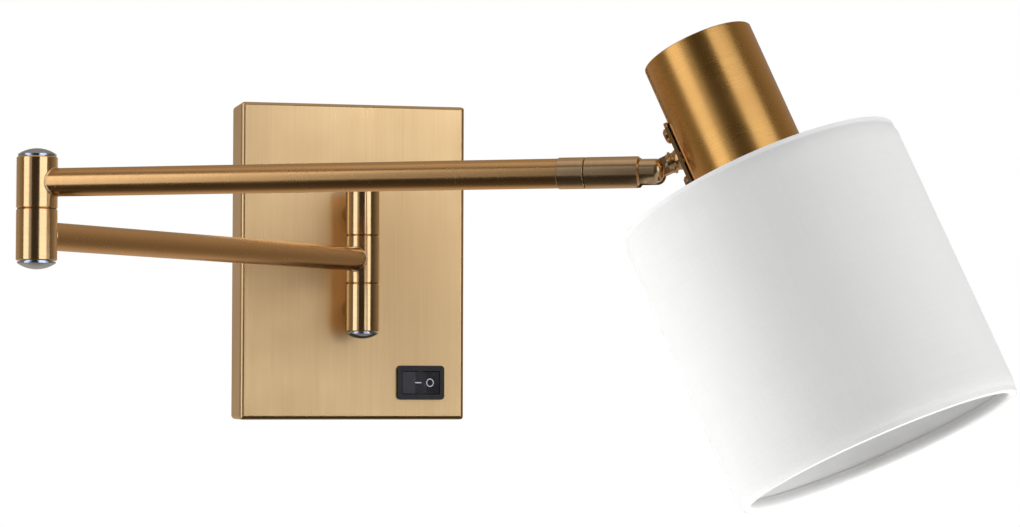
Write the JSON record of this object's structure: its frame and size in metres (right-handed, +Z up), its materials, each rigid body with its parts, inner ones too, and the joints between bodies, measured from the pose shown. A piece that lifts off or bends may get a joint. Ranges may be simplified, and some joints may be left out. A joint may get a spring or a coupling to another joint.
{
  "type": "swing arm wall sconce",
  "caption": "Brass swing arm wall light with a rectangular back plate and rocker switch, a two-part folding arm, a tilting head, a brass cup and a white fabric drum shade.",
  "frame": {"origin": "middle of the back plate's back edge, on the wall", "axes": "+Y into the wall, +X to the right as seen from the room, +Z up"},
  "size_m": [0.317, 0.4194, 0.1663],
  "materials": {
    "wall_bracket": "zinc plated",
    "back_plate": "satin, brushed",
    "cover_screws": "plated screw heads",
    "earth_screw": "plated screw heads",
    "terminal_block": "moulded",
    "terminal_screws": "plated steel",
    "switch_housing": "satin black",
    "switch_contacts": "plain",
    "switch_wires": "insulated wire",
    "upper_post": "satin, brushed along",
    "lower_post": "satin, brushed along",
    "post_nuts": "plated steel",
    "post_washers": "plated steel",
    "wall_barrel_upper": "polished",
    "wall_barrel_lower": "polished",
    "wall_pivot_tube": "turned",
    "wall_pivot_washers": "nylon",
    "wall_cap_upper": "satin",
    "wall_cap_lower": "satin",
    "lead_wall": "white sheath",
    "wall_knuckle": "polished",
    "lower_arm_tube": "satin, brushed along",
    "elbow_knuckle_lower": "polished",
    "elbow_pivot_tube": "turned",
    "elbow_washer": "nylon",
    "elbow_cap_upper": "satin",
    "elbow_cap_lower": "satin",
    "lead_lower_arm": "white sheath",
    "elbow_knuckle_upper": "polished",
    "upper_arm_tube": "satin, brushed along",
    "swivel_collar": "satin, brushed along",
    "lead_upper_arm": "white sheath",
    "swivel_body": "satin, brushed along",
    "swivel_nut": "plated steel",
    "tilt_screw": "turned",
    "swivel_tongue": "turned, dark",
    "tongue_washer": "turned",
    "tongue_boss": "turned",
    "tongue_nut": "plated steel",
    "cup_bracket": "satin",
    "cup_bracket_screws": "satin",
    "cup": "satin antique",
    "holder_strap": "zinc plated",
    "holder_nipple": "zinc plated tube",
    "nipple_nut": "plated steel",
    "lamp_holder": "moulded",
    "socket_shell": "plain",
    "socket_contact": "plain",
    "shade_ring_nut": "moulded",
    "shade_spider": "white enamel",
    "shade_bottom_ring": "white enamel",
    "shade_liner": "stiff lining sheet",
    "shade_fabric": "fine plain weave",
    "lead_head": "white sheath",
    "switch_rocker": "fine satin black",
    "switch_contact_arm": "plain"
  },
  "bodies": {
    "wall": {"wall_bracket": "wall_bracket", "back_plate": "back_plate", "cover_screws": "cover_screws", "earth_screw": "earth_screw", "terminal_block": "terminal_block", "terminal_screws": "terminal_screws", "switch_housing": "switch_housing", "switch_contacts": "switch_contacts", "switch_wires": "switch_wires", "upper_post": "upper_post", "lower_post": "lower_post", "post_nuts": "post_nuts", "post_washers": "post_washers", "wall_barrel_upper": "wall_barrel_upper", "wall_barrel_lower": "wall_barrel_lower", "wall_pivot_tube": "wall_pivot_tube", "wall_pivot_washers": "wall_pivot_washers", "wall_cap_upper": "wall_cap_upper", "wall_cap_lower": "wall_cap_lower", "lead_wall": "lead_wall"},
    "lower_arm": {"wall_knuckle": "wall_knuckle", "lower_arm_tube": "lower_arm_tube", "elbow_knuckle_lower": "elbow_knuckle_lower", "elbow_pivot_tube": "elbow_pivot_tube", "elbow_washer": "elbow_washer", "elbow_cap_upper": "elbow_cap_upper", "elbow_cap_lower": "elbow_cap_lower", "lead_lower_arm": "lead_lower_arm"},
    "upper_arm": {"elbow_knuckle_upper": "elbow_knuckle_upper", "upper_arm_tube": "upper_arm_tube", "swivel_collar": "swivel_collar", "lead_upper_arm": "lead_upper_arm"},
    "swivel": {"swivel_body": "swivel_body", "swivel_nut": "swivel_nut", "tilt_screw": "tilt_screw"},
    "head": {"swivel_tongue": "swivel_tongue", "tongue_washer": "tongue_washer", "tongue_boss": "tongue_boss", "tongue_nut": "tongue_nut", "cup_bracket": "cup_bracket", "cup_bracket_screws": "cup_bracket_screws", "cup": "cup", "holder_strap": "holder_strap", "holder_nipple": "holder_nipple", "nipple_nut": "nipple_nut", "lamp_holder": "lamp_holder", "socket_shell": "socket_shell", "socket_contact": "socket_contact", "shade_ring_nut": "shade_ring_nut", "shade_spider": "shade_spider", "shade_bottom_ring": "shade_bottom_ring", "shade_liner": "shade_liner", "shade_fabric": "shade_fabric", "lead_head": "lead_head"},
    "rocker": {"switch_rocker": "switch_rocker", "switch_contact_arm": "switch_contact_arm"}
  },
  "joints": [
    {"name": "wall_pivot", "type": "hinge", "parent": "wall", "child": "lower_arm", "pos_m": [0, -0.0462, 0], "axis": [0, 0, 1], "range_deg": [-38, 44]},
    {"name": "elbow_pivot", "type": "hinge", "parent": "lower_arm", "child": "upper_arm", "pos_m": [-0.15236, -0.21541, 0], "axis": [0, 0, 1], "range_deg": [-100, 20]},
    {"name": "head_swivel", "type": "hinge", "parent": "upper_arm", "child": "swivel", "pos_m": [0.0464, -0.3265, 0.01907], "axis": [0.8729, -0.4879, 0], "range_deg": [-85, 95]},
    {"name": "head_tilt", "type": "hinge", "parent": "swivel", "child": "head", "pos_m": [0.0464, -0.3265, 0.01907], "axis": [0.486, 0.8696, -0.0872], "range_deg": [-65, 40]},
    {"name": "switch_rock", "type": "hinge", "parent": "wall", "child": "rocker", "pos_m": [0.0302, -0.0258, -0.0532], "axis": [0, 0, 1], "range_deg": [0, 14]}
  ]
}
